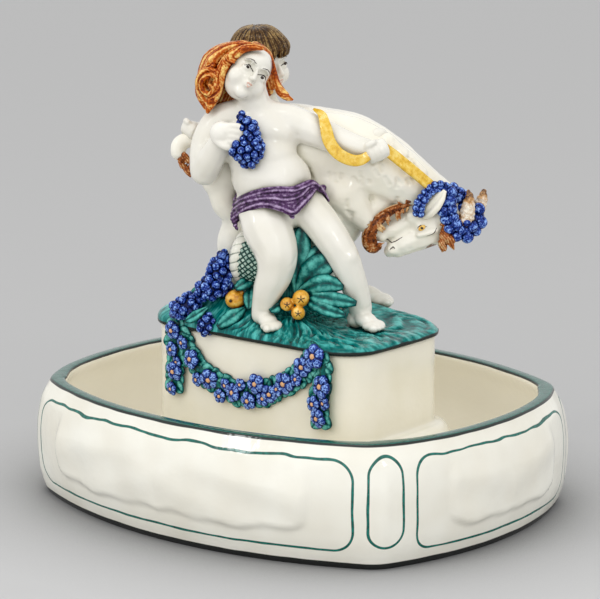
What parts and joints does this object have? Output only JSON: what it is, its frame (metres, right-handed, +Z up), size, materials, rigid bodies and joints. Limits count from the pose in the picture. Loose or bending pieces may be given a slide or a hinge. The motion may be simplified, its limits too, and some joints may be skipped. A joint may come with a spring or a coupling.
{
  "type": "figural table centrepiece",
  "caption": "Glazed earthenware table centrepiece: an oblong flower basin with a plinth in it that carries children and a goat over fruit and grapes.",
  "frame": {"origin": "on the table, under the middle of the basin", "axes": "+X along the basin to a viewer's right when the swag faces them, +Y to the back, +Z up"},
  "size_m": [0.421, 0.349, 0.3817],
  "materials": {
    "basin_glaze": "glossy ivory earthenware glaze with painted teal lines and a green rim",
    "figure_glaze": "glossy ivory earthenware glaze, painted in green, cobalt, yellow, violet and brown"
  },
  "bodies": {
    "root": {"basin": "basin_glaze", "figure_group": "figure_glaze"}
  },
  "joints": []
}
